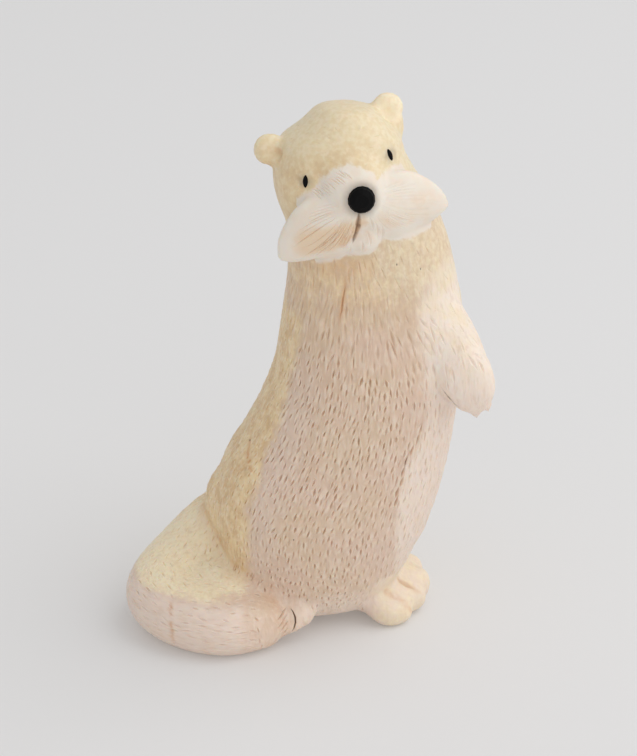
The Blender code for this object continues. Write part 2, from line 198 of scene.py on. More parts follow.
# The hollow where the tail leaves the flank, and how far it is filled.
HOLLOW_AT = np.array([-12.2, 0.8, 16.4])
HOLLOW_FILL = np.array([-1.2, 0.2, 0.2])
ARM_LINE = np.array([(15.4, -2.1, 46.5), (17.8, -3.4, 42.0), (21.0, -5.4, 35.2)])
PAW_AT = np.array([21.0, -6.6, 36.0])
PAW_EDGE = [
    (17.0, -7.7, 36.8), (17.6, -7.9, 35.8), (18.4, -7.8, 34.7), (19.1, -7.6, 34.1), (19.9, -7.6, 33.5),
]
FAR_SHOULDER_AT = np.array([19.2, 3.0, 47.0])
FOOT_AT = np.array([-2.2, -9.2, 3.4])
# The middle of the bare place where the tail's end meets the near foot.
TAIL_END_AT = np.array([-4.6, -10.6, 4.2])
# The creases of the far flipper. The first is cut and both get painted shade along them.
FLIPPER_CREASES = np.array([
    [(11.7, -1.2, 5.3), (12.5, -1.6, 4.9), (13.5, -1.9, 4.5), (15.1, -2.0, 3.4)],
    [(10.5, -3.8, 4.6), (12.1, -4.2, 3.8), (13.4, -4.5, 2.9), (14.2, -4.5, 2.0)],
])
PORES = [(5.6, -10.4, 26.3), (-1.6, -10.7, 16.1), (-7.3, -4.2, 27.3), (11.3, -7.8, 53.3), (14.3, -6.7, 52.3)]
# The mark down the chest, and a short one below it as heights at one x.
CHEST_MARK = [(5.0, -8.5, 51.0), (4.8, -8.5, 50.0), (4.6, -8.5, 48.8), (4.5, -8.6, 47.6), (4.3, -8.7, 46.6)]
LOWER_MARK_X = 4.2
LOWER_MARK_HEIGHTS = (44.4, 43.9, 43.4, 42.8)

# A whisker pad in the head's frame: x from the face's middle, the middle's height, half the pad's height.
PAD_LEAF = np.array([
    (0.4, -4.4, 2.6), (3.0, -4.8, 4.0), (5.5, -5.1, 4.3), (7.5, -5.8, 3.6),
    (9.2, -6.6, 2.7), (10.4, -7.2, 1.8), (11.2, -7.6, 1.2), (11.9, -7.8, 0.4),
])
# How far the right pad hangs, and how far the white passes a pad's outline, and the top of its outer half.
PAD_DROOP = math.radians(4)
PAD_MARGIN = 0.45
TOP_MARGIN = 1.2
# The rest of the muzzle's white patch in the head's frame: x, z.
MUZZLE = [
    (-5.7, -1.0), (-5.1, -0.1), (-4.1, 0.7), (-3.1, 1.4), (-1.9, 2.1), (0.2, 2.1), (1.1, 1.4),
    (2.7, 0.2), (2.6, -7.0), (1.5, -8.6), (-0.6, -10.0), (-3.6, -9.4), (-5.0, -5.0),
]
MUZZLE_FRONT = -9.5
NOSE_AT = np.array([0.0, -2.2])
EYES_AT = np.array([(-5.45, 1.0), (5.5, 0.65)])
EARS_AT = np.array([7.8, 0.8, 4.1])
# Lines on the face as x, z: the mouth, and the chin's folds from their start to their end.
MOUTH = [(-0.6, -3.3), (-0.95, -4.5), (-1.35, -5.5), (-1.75, -6.3), (-2.2, -7.1), (-2.5, -7.7)]
CHIN_FOLDS = [
    ((0.3, -4.6), (0.3, -7.0)), ((0.9, -5.6), (0.6, -8.4)), ((1.6, -6.4), (0.9, -9.2)),
    ((-0.4, -6.4), (-0.5, -8.8)), ((-1.3, -7.6), (-1.7, -9.2)), ((-2.8, -7.9), (-3.2, -9.1)),
]
# Places on the near foot's front, as x, z in the row's frame.
NEAR_SLIT = [(-2.2, 5.5), (-1.75, 4.9), (-1.45, 4.2), (-1.4, 3.5), (-1.6, 2.8), (-2.0, 2.1)]
TOE_CUTS = [
    [(-2.5, 5.6), (-3.2, 5.1), (-3.9, 4.9)],
    [(-2.4, 4.8), (-3.1, 4.2), (-3.9, 3.9)],
    [(-2.3, 4.0), (-2.9, 3.4), (-3.6, 3.1)],
    [(-2.4, 3.1), (-2.8, 2.6), (-3.2, 2.3)],
]


def torso_middle(height):
    return np.interp(height, TORSO_MIDDLE[:, 0], TORSO_MIDDLE[:, 1])


def ridge_x(height):
    return np.interp(height, BELLY_RIDGE[::-1, 2], BELLY_RIDGE[::-1, 0])


def round_torso(points):
    """The angle round the torso of each point: 0 at the chest, + to the viewer's right."""
    return np.arctan2(points[:, 0] - torso_middle(points[:, 2]), -points[:, 1])


def flank_inside(points):
    """How far each point is inside the golden flank and back, in mm."""
    front = np.interp(points[:, 2], FLANK_EDGE[:, 0], FLANK_EDGE[:, 1]) - points[:, 0]
    behind = (points[:, 1] - 2.5) * 0.4
    return np.maximum(front, behind)


def tail_way(points):
    """The direction of the tail's line beside each point."""
    best = np.full(len(points), np.inf)
    ways = np.zeros((len(points), 3))
    for start, end in zip(TAIL_LINE, TAIL_LINE[1:]):
        apart = from_path(points, [start, end])
        nearer = apart < best
        best[nearer] = apart[nearer]
        ways[nearer] = unit(end - start)
    return ways


def pad_inside(head):
    """How far inside the outline of a whisker pad each point of the face is, in mm."""
    droop = np.where(head[:, 0] > 0, PAD_DROOP, 0.0)
    x = np.abs(head[:, 0] * np.cos(droop) - head[:, 2] * np.sin(droop))
    z = head[:, 0] * np.sin(droop) + head[:, 2] * np.cos(droop)
    middle = np.interp(x, PAD_LEAF[:, 0], PAD_LEAF[:, 1])
    half = np.interp(x, PAD_LEAF[:, 0], PAD_LEAF[:, 2], right=-1.0)
    margin = np.where(z > middle, np.interp(x, (5.0, 8.0), (PAD_MARGIN, TOP_MARGIN)), PAD_MARGIN)
    return half - np.abs(z - middle) + margin


def muzzle_inside(head):
    return inside_outline(head[:, [0, 2]], MUZZLE)


def face_places(flat):
    """Places on the muzzle from their x and z in the head's frame."""
    return np.array([tuple(HEAD @ Vector((x, MUZZLE_FRONT, z))) for x, z in flat])


def near(points, place, full, none):
    """1 within a distance of a place, fading to 0 at another."""
    return ramp(none, full, np.linalg.norm(points - place, axis=1))


def apart_on_face(head, place):
    """How far points in the head's frame are from an x and z on the face."""
    return np.hypot(head[:, 0] - place[0], head[:, 2] - place[1])


def near_ears(head, full, none):
    """1 within a distance of either ear's place in the head's frame, fading to 0 at another."""
    mirrored = head * np.where(head[:, :1] < 0, (-1, 1, 1), 1)
    return near(mirrored, EARS_AT, full, none)


# The skin


def broad_weights(points):
    """1 where the skin is broad and gets all the smoothing, 0 on the face's edges, the paws and the feet."""
    head = in_head(points)
    on_head = ramp(-11.0, -8.0, head[:, 2])
    ears = near_ears(head, 2.4, 3.4)
    face = ramp(-2.0, -4.0, head[:, 1]) * ramp(3.5, 2.5, head[:, 2])
    detailed = on_head * np.maximum(ears, face * 0.85)
    detailed = np.maximum(detailed, near(points, PAW_AT, 3.5, 5.5))
    detailed = np.maximum(detailed, near(points, FOOT_AT, 3.0, 4.6))
    flipper = ramp(8.0, 10.0, points[:, 0]) * ramp(9.0, 7.0, points[:, 2])
    broad = 1 - np.maximum(detailed, flipper * 0.2)
    mouth = face_places(MOUTH)
    slit = [(x, -10.0, z) for x, z in NEAR_SLIT]
    for path in (mouth, slit):
        broad = np.maximum(broad, 0.9 * ramp(1.8, 1.0, from_path(points, path)))
    return broad


def placed(name, data):
    """A new object of the scene with some data."""
    made = bpy.data.objects.new(name, data)
    bpy.context.scene.collection.objects.link(made)
    return made


def evaluated_mesh(obj):
    bpy.context.view_layer.update()
    seen = obj.evaluated_get(bpy.context.evaluated_depsgraph_get())
    return bpy.data.meshes.new_from_object(seen)


def close_sockets(mesh):
    """Fills the skin over the inlays' sockets, so that the inlays come out of it without a gap."""
    shape = bmesh.new()
    shape.from_mesh(mesh)
    for name in INLAYS:
        peg = bmesh.new()
        peg.from_mesh(NODES[name].data)
        tree = BVHTree.FromBMesh(peg)
        peg.free()
        drilled = [v for v in shape.verts if tree.find_nearest(v.co, SOCKET_REACH * UNIT)[0] is not None]
        bmesh.ops.delete(shape, geom=drilled, context="VERTS")
    rims = [e for e in shape.edges if e.is_boundary]
    made = bmesh.ops.holes_fill(shape, edges=rims, sides=0)
    bmesh.ops.triangulate(shape, faces=made["faces"])
    shape.to_mesh(mesh)
    shape.free()


def smooth_skin():
    """The solid's skin with its facets smoothed away: points in mm and triangles."""
    work = placed("skin at work", NODES["otter"].data.copy())
    remesh = work.modifiers.new("remesh", "REMESH")
    remesh.mode = "VOXEL"
    remesh.voxel_size = REMESH_GRAIN * UNIT
    work.data = evaluated_mesh(work)
    work.modifiers.clear()
    close_sockets(work.data)
    points = np.array([v.co for v in work.data.vertices]) / UNIT
    for name, weights in (("broad", broad_weights(points)), ("hollow", near(points, HOLLOW_AT, 2.5, 6.5))):
        group = work.vertex_groups.new(name=name)
        for index, weight in enumerate(weights):
            group.add([index], float(weight), "REPLACE")
    for name, steps, limit in (
        ("fine", FINE_SMOOTHING, ""),
        ("broad", BROAD_SMOOTHING, "broad"),
        ("hollow", HOLLOW_SMOOTHING, "hollow"),
    ):
        soften = work.modifiers.new(name, "SMOOTH")
        soften.factor = 0.5
        soften.iterations = steps
        soften.vertex_group = limit
    thin = work.modifiers.new("thin", "DECIMATE")
    thin.ratio = SKIN_TRIANGLES / (2 * len(work.data.polygons))
    shape = bmesh.new()
    shape.from_mesh(evaluated_mesh(work))
    bpy.data.objects.remove(work)
    bmesh.ops.triangulate(shape, faces=shape.faces)
    points = np.array([v.co for v in shape.verts]) / UNIT
    triangles = np.array([[v.index for v in f.verts] for f in shape.faces])
    shape.free()
    points += near(points, HOLLOW_AT, 1.0, 5.5)[:, None] * HOLLOW_FILL
    points[:, 2] = np.maximum(points[:, 2], 0.0)
    return points, triangles


def face_normals(points, triangles):
    a, b, c = (points[triangles[:, k]] for k in range(3))
    return np.cross(b - a, c - a)


def vertex_normals(points, triangles):
    face = face_normals(points, triangles)
    normals = np.zeros_like(points)
    for k in range(3):
        np.add.at(normals, triangles[:, k], face)
    return unit(normals)


# The strokes


class Stroke:
    """A cut of the graver: a ring of points on the skin round a path, and a line along its bottom."""

    def __init__(self, path, normal, width, depth, rim=0.0, ink_and_shade=0.0, peak=0.5, drawn=True):
        self.path = np.array(path, float)
        self.middle = self.path.mean(axis=0)
        self.normal = unit(np.array(normal, float))
        along = self.path[-1] - self.path[0]
        self.u = unit(along - self.normal * (along @ self.normal))
        self.v = np.cross(self.normal, self.u)
        self.ink_and_shade = ink_and_shade
        self.drawn = drawn
        self.half_width = width / 2
        line = self.flattened(self.path)
        steps = np.diff(line, axis=0)
        steps = unit(np.vstack([steps[:1], (steps[:-1] + steps[1:]) / 2, steps[-1:]]))
        side = np.stack([-steps[:, 1], steps[:, 0]], axis=1)
        share = np.linspace(0, 1, len(line))
        body = np.where(share < peak, share / peak, (1 - share) / (1 - peak)) ** 0.6
        self.line = line
        self.halves = self.half_width * body
        self.floors = depth * body
        edge = self.halves[1:-1, None] * side[1:-1]
        ring = np.vstack([line[:1], line[1:-1] + edge, line[-1:], (line[1:-1] - edge)[::-1]])
        self.points = np.vstack([ring, line[1:-1]])
        self.reach = np.linalg.norm(self.points, axis=1).max()
        rims = np.full(len(ring), -rim)
        rims[[0, len(line) - 1]] = 0
        self.depths = np.concatenate([rims, self.floors[1:-1]])
        count = len(ring)
        bottom = [0, *range(count, count + len(line) - 2), len(line) - 1]
        self.edges = [(k, (k + 1) % count) for k in range(count)] + list(zip(bottom, bottom[1:]))

    def flattened(self, places):
        """Places on the plane square to the stroke's normal."""
        shifted = places - self.middle
        return np.stack([shifted @ self.u, shifted @ self.v], axis=-1)

    def depth_at(self, flat):
        """How deep the groove is at flat places, 0 outside it."""
        deepest = np.zeros(len(flat))
        for k, (t, apart) in enumerate(beside_path(flat, self.line)):
            half = self.halves[k] + (self.halves[k + 1] - self.halves[k]) * t
            floor = self.floors[k] + (self.floors[k + 1] - self.floors[k]) * t
            deepest = np.maximum(deepest, floor * (1 - apart / np.maximum(half, 1e-6)))
        return deepest


def corner_shares(places, triangles):
    """Each flat place's shares of the corners of each flat triangle."""
    a, b, c = (triangles[:, k] for k in range(3))
    ab, ac = b - a, c - a
    area = ab[:, 0] * ac[:, 1] - ab[:, 1] * ac[:, 0]
    area = np.where(np.abs(area) < 1e-9, 1e-9, area)
    gap = places[:, None, :] - a
    second = (gap[..., 0] * ac[:, 1] - gap[..., 1] * ac[:, 0]) / area
    third = (ab[:, 0] * gap[..., 1] - ab[:, 1] * gap[..., 0]) / area
    return np.stack([1 - second - third, second, third], axis=-1)


def in_cells(cells, low, high):
    """What a grid's cells hold, from one cell up to another."""
    held = []
    for x in range(low[0], high[0]):
        for y in range(low[1], high[1]):
            for z in range(low[2], high[2]):
                held += cells.get((x, y, z), ())
    return held


class Skin:
    """The triangles that strokes are cut into. A cut adds points on their edges and inside them."""

    # The lookup grid's cell, and how far round a stroke its triangles are looked for.
    CELL = 1.5
    REACH = 1.0
    SLACK = 0.25
    # How much of the round skin's rise over its facets a cut's points get.
    LIFT = 0.6
    # The least cosine between a triangle's normal and its stroke's.
    STEEP = 0.08
    # The least share of a corner in a point, so that none falls on an edge.
    CLEAR = 1e-4

    def __init__(self, points, triangles):
        self.base = points
        self.triangles = triangles
        self.normals = vertex_normals(points, triangles)
        self.tree = BVHTree.FromPolygons(points.tolist(), triangles.tolist())
        self.base_depths = np.zeros(len(points))
        self.base_ink_and_shade = np.zeros(len(points))
        self.new_points = []
        self.new_depths = []
        self.new_ink_and_shade = []
        self.edge_points = defaultdict(list)
        self.inside_points = defaultdict(list)
        self.inside_edges = defaultdict(list)
        self.strokes_at = defaultdict(list)
        self.drawn = []
        self.centres = points[triangles].mean(axis=1)
        self.facing = unit(face_normals(points, triangles))
        self.size = np.linalg.norm(points[triangles] - self.centres[:, None], axis=2).max(axis=1)
        self.cells = defaultdict(list)
        for index, key in enumerate(map(tuple, np.floor(self.centres / self.CELL).astype(int))):
            self.cells[key].append(index)

    def nearest(self, place):
        return np.array(self.tree.find_nearest(Vector(place))[0])

    def facing_at(self, place):
        return np.array(self.tree.find_nearest(Vector(place))[1])

    def on_face(self, x, z):
        """The face at x and z in the head's frame."""
        start = HEAD @ Vector((x, -20.0, z))
        return np.array(self.tree.ray_cast(start, Vector(HEAD_BACK))[0])

    def on_front(self, x, z):
        """The figure's front at x and z in the row's frame."""
        return np.array(self.tree.ray_cast(Vector((x, -40.0, z)), Vector((0, 1, 0)))[0])

    def around(self, stroke):
        """The triangles near a stroke, or none where the skin turns away from it."""
        reach = stroke.reach + self.REACH
        low, high = (np.floor((stroke.middle + way) / self.CELL).astype(int) for way in (-reach, reach))
        found = np.array(in_cells(self.cells, low, high + 1), int)
        apart = from_path(self.centres[found], stroke.path)
        found = found[apart < stroke.half_width + self.size[found] + self.SLACK]
        steep = self.facing[found] @ stroke.normal < self.STEEP
        if steep.any() and not stroke.drawn:
            return found[:0]
        return found[~steep]

    def add(self, places, depths, ink_and_shade):
        first = len(self.base) + len(self.new_points)
        self.new_points += list(places)
        self.new_depths += list(depths)
        self.new_ink_and_shade += [ink_and_shade] * len(depths)
        return list(range(first, first + len(depths)))

    def sunk(self, corners, shares, depths):
        """Points between corners, raised from the flat facets to the round skin and pushed in by a depth."""
        ends = self.base[corners]
        normals = self.normals[corners]
        flat = (shares[..., None] * ends).sum(axis=1)
        drops = ((flat[:, None] - ends) * normals).sum(axis=2)
        lift = (shares * drops * self.LIFT)[..., None] * normals
        normal = unit((shares[..., None] * normals).sum(axis=1))
        return flat - lift.sum(axis=1) - normal * depths[:, None]

    def cut(self, stroke):
        """Draws the stroke's lines on the triangles that they cross. Says whether it could."""
        around = self.around(stroke)
        if not len(around):
            return False
        corners = self.triangles[around]
        flat = stroke.flattened(self.base[corners])
        shares = corner_shares(stroke.points, flat)
        homes = shares.min(axis=2).argmax(axis=1)
        shares = shares[np.arange(len(homes)), homes]
        if shares.min() < self.CLEAR:
            return False
        names = self.add(self.sunk(corners[homes], shares, stroke.depths), stroke.depths, stroke.ink_and_shade)
        if stroke.drawn:
            self.drawn += list(stroke.path)
        for index in around:
            self.strokes_at[index].append(stroke)
        for name, home, share in zip(names, homes, shares):
            self.inside_points[around[home]].append((name, share))
        self.draw(stroke, names, homes, around, corners, flat)
        deep = stroke.depth_at(flat.reshape(-1, 2))
        named = corners.reshape(-1)
        np.maximum.at(self.base_depths, named, deep)
        self.base_ink_and_shade[named[deep > 0]] = stroke.ink_and_shade
        return True

    def draw(self, stroke, names, homes, around, corners, flat):
        """Splits the stroke's lines where they cross the triangles' edges."""
        starts = corners.reshape(-1)
        ends = np.roll(corners, -1, axis=1).reshape(-1)
        swap = starts > ends
        from_flat = flat.reshape(-1, 2)
        to_flat = np.roll(flat, -1, axis=1).reshape(-1, 2)
        low = np.where(swap[:, None], to_flat, from_flat)
        high = np.where(swap[:, None], from_flat, to_flat)
        keys = np.minimum(starts, ends) * len(self.base) + np.maximum(starts, ends)
        keys, first, owner = np.unique(keys, return_index=True, return_inverse=True)
        low, edge = low[first], high[first] - low[first]
        rows = [set() for _ in keys]
        for place, key in enumerate(owner):
            rows[key].add(place // 3)
        for start, end in stroke.edges:
            p, line = stroke.points[start], stroke.points[end] - stroke.points[start]
            cross = line[0] * edge[:, 1] - line[1] * edge[:, 0]
            cross = np.where(np.abs(cross) < 1e-12, 1e-12, cross)
            gap = low - p
            t = (gap[:, 0] * edge[:, 1] - gap[:, 1] * edge[:, 0]) / cross
            s = (gap[:, 0] * line[1] - gap[:, 1] * line[0]) / cross
            hit = np.nonzero((t > 0) & (t < 1) & (s > 0) & (s < 1))[0]
            hit = hit[np.argsort(t[hit])]
            pairs = np.stack([keys[hit] // len(self.base), keys[hit] % len(self.base)], axis=1)
            depths = stroke.depths[start] + (stroke.depths[end] - stroke.depths[start]) * t[hit]
            shares = np.stack([1 - s[hit], s[hit]], axis=1)
            made = self.add(self.sunk(pairs, shares, depths), depths, stroke.ink_and_shade)
            for name, pair, share in zip(made, pairs.tolist(), s[hit]):
                self.edge_points[tuple(pair)].append((share, name))
            stops = [names[start], *made, names[end]]
            seen = [{homes[start]}, *(rows[k] for k in hit), {homes[end]}]
            for near_name, near_rows, far_name, far_rows in zip(stops, seen, stops[1:], seen[1:]):
                for row in near_rows & far_rows:
                    self.inside_edges[around[row]].append((near_name, far_name))

    def woven(self):
        """All triangles, with those that strokes cross split along the strokes' lines."""
        split = set(self.inside_points) | set(self.inside_edges)
        for index, (i, j, k) in enumerate(self.triangles.tolist()):
            if any((min(a, b), max(a, b)) in self.edge_points for a, b in ((i, j), (j, k), (k, i))):
                split.add(index)
        woven = [tuple(t) for index, t in enumerate(self.triangles.tolist()) if index not in split]
        for index in sorted(split):
            woven += self.split(index)
        return woven

    def split(self, index):
        """One triangle as the triangles between its corners and the strokes' points and lines."""
        corners = self.triangles[index]
        ends = self.base[corners]
        across = unit(ends[1] - ends[0])
        up = np.cross(self.facing[index], across)
        flat = np.stack([(ends - ends[0]) @ across, (ends - ends[0]) @ up], axis=1)
        names = corners.tolist()
        places = list(flat)
        edges = []
        for k in range(3):
            start, end = sorted((k, (k + 1) % 3), key=lambda corner: corners[corner])
            chain = [start]
            for share, name in sorted(self.edge_points.get((corners[start], corners[end]), ())):
                chain.append(len(names))
                names.append(name)
                places.append(flat[start] * (1 - share) + flat[end] * share)
            chain.append(end)
            edges += list(zip(chain, chain[1:]))
        for name, shares in self.inside_points.get(index, ()):
            names.append(name)
            places.append(shares @ flat)
        slots = {name: slot for slot, name in enumerate(names)}
        for start, end in self.inside_edges.get(index, ()):
            if start in slots and end in slots:
                edges.append((slots[start], slots[end]))
        filled = 1
        made, _, faces, sources, _, _ = delaunay_2d_cdt([Vector(p) for p in places], edges, [], filled, 1e-7)
        final = []
        for place, source in zip(made, sources):
            if source:
                final.append(names[source[0]])
            else:
                shares = corner_shares(np.array([place]), flat[None])[0]
                met = shares @ ends
                depth = max(stroke.depth_at(stroke.flattened(met))[0] for stroke in self.strokes_at[index])
                final += self.add(self.sunk(corners[None], shares, np.array([depth])), [depth], 0.0)
        split = []
        for face in faces:
            a, b, c = (made[k] for k in face)
            if (b - a).cross(c - a) < 0:
                face = face[::-1]
            named = tuple(final[k] for k in face)
            if len(set(named)) == 3:
                split.append(named)
        return split


# The fur: what each region's strokes are like, in mm. The pitches are the least distances between two
# strokes' middles, along and across them.

FUR = {
    # region: (length, width, depth, pitch along, pitch across)
    "belly": (1.25, 0.50, 0.17, 1.22, 0.58),
    "flank": (0.95, 0.44, 0.15, 1.05, 0.66),
    "low belly": (0.85, 0.48, 0.17, 0.94, 0.60),
    "right side": (1.50, 0.44, 0.14, 1.50, 0.70),
    "upper belly": (2.30, 0.64, 0.11, 1.80, 0.72),
    "chest": (2.30, 0.42, 0.085, 2.05, 0.62),
    "smooth neck": (1.80, 0.34, 0.05, 2.20, 1.10),
    "back": (1.60, 0.44, 0.14, 2.00, 1.15),
    "arm": (1.90, 0.34, 0.05, 2.20, 1.10),
    "tail top": (1.30, 0.44, 0.10, 1.50, 0.80),
    "tail side": (1.80, 0.40, 0.08, 1.60, 0.62),
    "head": (1.00, 0.24, 0.035, 1.80, 1.20),
}


def fur_regions(points, normals):
    """The share of each region at each place, one laid over another."""
    angle = round_torso(points)
    x, y, height = points.T
    head = in_head(points)
    beside = ramp(10.5, 9.0, height) * ramp(-5.5, -7.5, x)
    behind = ramp(3.0, 5.0, y) * ramp(12.0, 9.0, height)
    tail = np.maximum.reduce([beside, behind, ramp(-13.0, -15.0, x)])
    top = ramp(0.25, 0.6, normals[:, 2])
    rightward = ramp(0.35, 0.8, angle) * ramp(2.6, 2.2, angle)
    return {
        "flank": ramp(-0.5, 1.0, flank_inside(points)),
        "low belly": ramp(15, 10, height),
        "right side": rightward,
        "upper belly": ramp(37, 42, height + 3 * angle),
        "chest": ramp(47, 51, height),
        "smooth neck": ramp(0.1, 0.6, angle) * ramp(2.6, 2.2, angle) * ramp(43, 49, height),
        "back": ramp(3.0, 5.0, y),
        "arm": ramp(4.5, 3.2, from_path(points, ARM_LINE)) * ramp(15.5, 17.0, x),
        "tail top": tail,
        "tail side": tail * (1 - top),
        "head": ramp(-9.6, -8.4, head[:, 2]) * ramp(48.0, 52.0, height),
    }


def fur_ways(points, normals, regions):
    """The direction of the fur at each place, along the skin, and how far it lies along it (0..1)."""
    angle = round_torso(points)[:, None]
    height = points[:, 2:3]
    slope = (torso_middle(height + 1) - torso_middle(height - 1)) / 2
    ways = np.hstack([-slope, 0 * slope, 0 * slope - 1])
    splay = np.sin(angle) * 0.42 * ramp(6, 56, height)
    splay += 0.26 * ramp(32, 42, height) * ramp(54, 47, height) * ramp(-0.15, 0.3, angle)
    ways += np.hstack([np.cos(angle), np.sin(angle), 0 * angle]) * splay
    head = in_head(points)
    head_ways = HEAD_BACK * 0.75 - HEAD_UP * 0.35 + HEAD_RIGHT * np.clip(head[:, :1] / 9, -1, 1) * 0.5
    for region, way in (
        ("arm", unit(ARM_LINE[-1] - ARM_LINE[0])),
        ("tail top", tail_way(points)),
        ("head", head_ways),
    ):
        ways += (way - ways) * regions[region][:, None]
    ways -= normals * (ways * normals).sum(axis=1, keepdims=True)
    return unit(ways), np.linalg.norm(ways, axis=1)


def bare_places(points, normals, lie):
    """Where no fur is cut: the face, the paws, the feet, the underside, and round the eyes and ears."""
    head = in_head(points)
    height = points[:, 2]
    bare = (lie < LEAST_LIE) | (normals[:, 2] < -0.55) | (height < 1.0)
    before = head[:, 1] < -3.0
    white = np.maximum(pad_inside(head) > -0.2, muzzle_inside(head) > -0.3)
    bare |= before & white
    bare |= (points[:, 0] > 8.5) & (height < 7.5)
    for place, reach in ((PAW_AT, 3.6), (FOOT_AT, 3.4), (TAIL_END_AT, 3.6)):
        bare |= np.linalg.norm(points - place, axis=1) < reach
    bare |= near_ears(head, 2.5, 2.7) > 0.5
    for eye in EYES_AT:
        bare |= before & (apart_on_face(head, eye) < 1.4)
    return bare


def fur_strokes(skin, rng):
    """Strokes scattered over the skin, no two closer than their region's pitches."""
    area = np.linalg.norm(face_normals(skin.base, skin.triangles), axis=1)
    picked = skin.triangles[rng.choice(len(area), SEED_TRIES, p=area / area.sum())]
    shares = rng.dirichlet((1.0, 1.0, 1.0), SEED_TRIES)[:, :, None]
    places = (skin.base[picked] * shares).sum(axis=1)
    normals = unit((skin.normals[picked] * shares).sum(axis=1))
    regions = fur_regions(places, normals)
    ways, lie = fur_ways(places, normals, regions)
    cuts = np.tile(np.array(FUR["belly"]), (SEED_TRIES, 1))
    for region, share in regions.items():
        cuts += (np.array(FUR[region]) - cuts) * share[:, None]
    sides = np.cross(normals, ways)
    drawn = np.array(skin.drawn)
    taken = defaultdict(list)
    for index in np.nonzero(~bare_places(places, normals, lie))[0]:
        length, width, depth, along, across = cuts[index]
        place, way, side = places[index], ways[index], sides[index]
        cell = np.floor(place / FUR_CELL).astype(int)
        gap = places[in_cells(taken, cell - 1, cell + 2)] - place
        if (np.hypot(gap @ way / along, gap @ side / across) < 1).any():
            continue
        samples = place + way * np.array([[-0.5], [0.0], [0.5]]) * length
        if np.linalg.norm(drawn[:, None] - samples, axis=2).min() < DRAWN_CLEARANCE:
            continue
        taken[tuple(cell)].append(index)
        turn = rng.normal(0, FUR_TURN)
        way = way * math.cos(turn) + side * math.sin(turn)
        length *= rng.uniform(*FUR_LENGTHS)
        depth *= rng.uniform(*FUR_DEPTHS)
        count = 5 if length > 1.3 else 4
        path = [skin.nearest(place + way * share * length) for share in np.linspace(-0.5, 0.5, count)]
        width *= rng.uniform(*FUR_WIDTHS)
        yield Stroke(path, normals[index], width, depth, rim=depth * FUR_RIM, drawn=False)


# The strokes that are drawn one by one


def face_line(skin, start, end, bend, count):
    """Places on the face along a bent line between two others, given as x and z in the head's frame."""
    start, end = np.array(start, float), np.array(end, float)
    side = np.array([start[1] - end[1], end[0] - start[0]])
    flat = [start + (end - start) * t + side * bend * 4 * t * (1 - t) for t in np.linspace(0, 1, count)]
    return [skin.on_face(*place) for place in flat]


def pad_grooves(skin, rng):
    """Fine grooves that fan out over the whisker pads from the nose."""
    for side, width, depth in ((-1, 0.34, 0.10), (1, 0.32, 0.04)):
        droop = PAD_DROOP if side > 0 else 0.0
        turn = np.array([(math.cos(droop), math.sin(droop)), (-math.sin(droop), math.cos(droop))])
        ends = [(x, 0.8) for x in np.linspace(6.0, 10.0, 6)]
        ends += [(10.4, 0.3), (10.4, -0.3)]
        ends += [(x, -0.8) for x in np.linspace(10.0, 3.4, 14)]
        for x, share in ends:
            middle = np.interp(x, PAD_LEAF[:, 0], PAD_LEAF[:, 1])
            half = np.interp(x, PAD_LEAF[:, 0], PAD_LEAF[:, 2])
            end = turn @ np.array([side * x, middle + half * share])
            gap = end - NOSE_AT
            start = NOSE_AT + unit(gap) * rng.uniform(2.6, 3.6)
            end = NOSE_AT + gap * rng.uniform(0.8, 1.0)
            bend = 0.05 * side * (1 if share > 0 else -1) * rng.uniform(0.6, 1.2)
            path = face_line(skin, start, end, bend, 7)
            yield Stroke(path, -HEAD_BACK, width, depth * rng.uniform(0.6, 1.2), rim=depth * 0.2)


def muzzle_hair(skin, rng):
    """Short strokes on the bridge beside the left eye, and folds on the chin."""
    starts = np.linspace((-5.2, -0.2), (-1.2, 2.0), 13)
    for start in starts:
        start = start + rng.normal(0, 0.15, 2)
        end = start + (0.95, -1.2) + rng.normal(0, 0.15, 2)
        yield Stroke(face_line(skin, start, end, 0.06, 5), -HEAD_BACK, 0.34, 0.09, rim=0.04)
    for start, end in CHIN_FOLDS:
        yield Stroke(face_line(skin, start, end, 0.08, 6), -HEAD_BACK, 0.55, 0.09, rim=0.04)


def inked_cuts(skin, _):
    """The mouth, the near foot's slit and toes, and the pores of the ivory. Nothing here is random."""
    front = np.array([0.0, -1.0, 0.3])
    yield Stroke([skin.on_face(*p) for p in MOUTH], -HEAD_BACK, 1.05, 0.34, ink_and_shade=0.62, peak=0.35)
    yield Stroke([skin.on_front(*p) for p in NEAR_SLIT], front, 0.34, 0.3, ink_and_shade=1.0)
    for path in TOE_CUTS:
        yield Stroke([skin.on_front(*p) for p in path], front, 0.5, 0.2, ink_and_shade=0.1, rim=0.05)
    for place in PORES:
        middle = skin.nearest(place)
        ends = [skin.nearest(middle + GROUND_UP * shift) for shift in (-0.2, -0.07, 0.07, 0.2)]
        yield Stroke(ends, (0.1, -1.0, 0.0), 0.26, 0.1, ink_and_shade=1.0)


